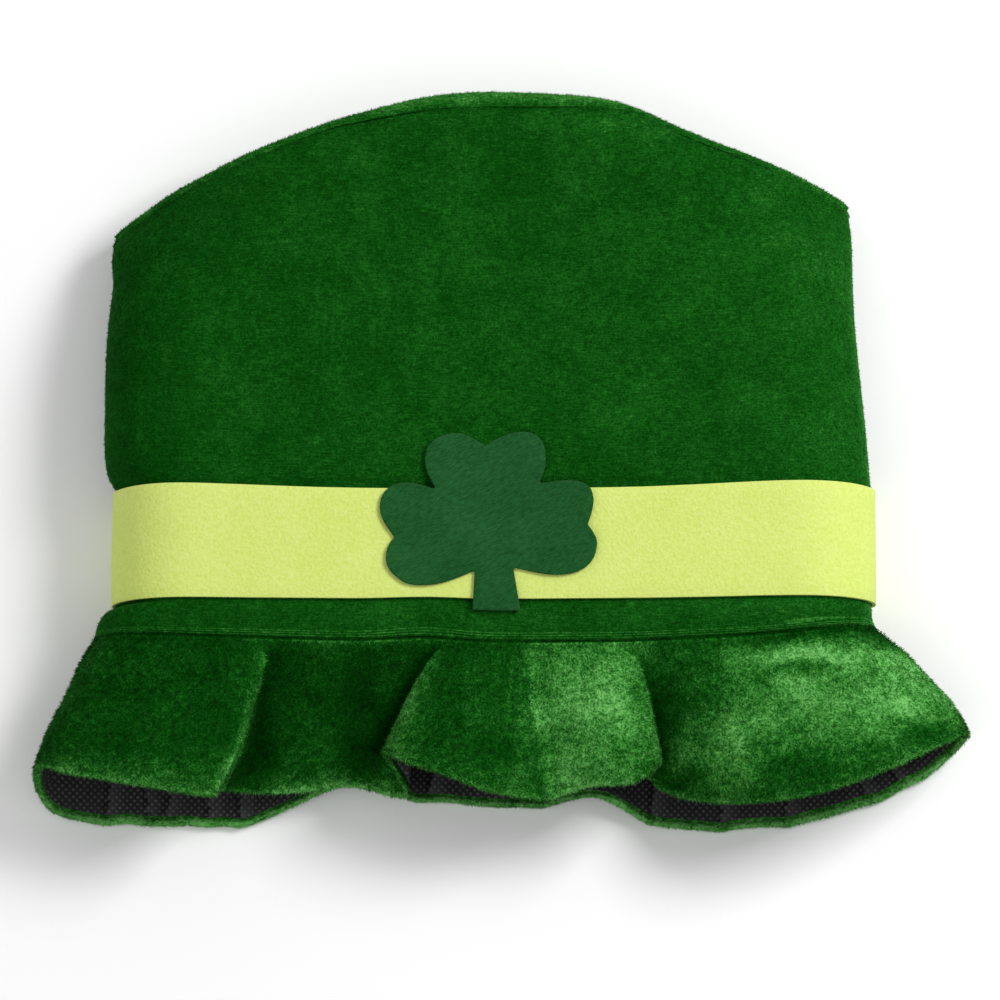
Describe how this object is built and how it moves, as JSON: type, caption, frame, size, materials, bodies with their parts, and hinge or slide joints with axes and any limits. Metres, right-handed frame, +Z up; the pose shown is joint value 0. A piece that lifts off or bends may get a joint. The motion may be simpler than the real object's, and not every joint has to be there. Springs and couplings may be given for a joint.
{
  "type": "leprechaun hat",
  "caption": "Soft tall-crowned costume hat lying flattened on its back, with a felt band, a felt shamrock and a ruffled, lined brim.",
  "frame": {"origin": "on the surface that the hat lies on, under the middle of its overall box", "axes": "+Z up out of the hat's front, where the shamrock is; +Y from the brim to the top of the crown; +X to the right as the front is seen"},
  "size_m": [0.352, 0.2756, 0.0514],
  "materials": {
    "crown_velour": "short green velour pile, soft mottled sheen",
    "top_velour": "short green velour pile, soft mottled sheen",
    "band_felt": "matte needled felt, lime yellow",
    "shamrock_felt": "matte needled felt, dark bluish green",
    "brim_velour": "longer green velour pile brushed into light and dark patches",
    "lining_cloth": "black nonwoven cloth embossed with a fine dot grid, creased"
  },
  "bodies": {
    "root": {"crown_side": "crown_velour", "crown_top": "top_velour", "hat_band": "band_felt", "shamrock": "shamrock_felt", "brim": "brim_velour", "brim_lining": "lining_cloth"}
  },
  "joints": []
}
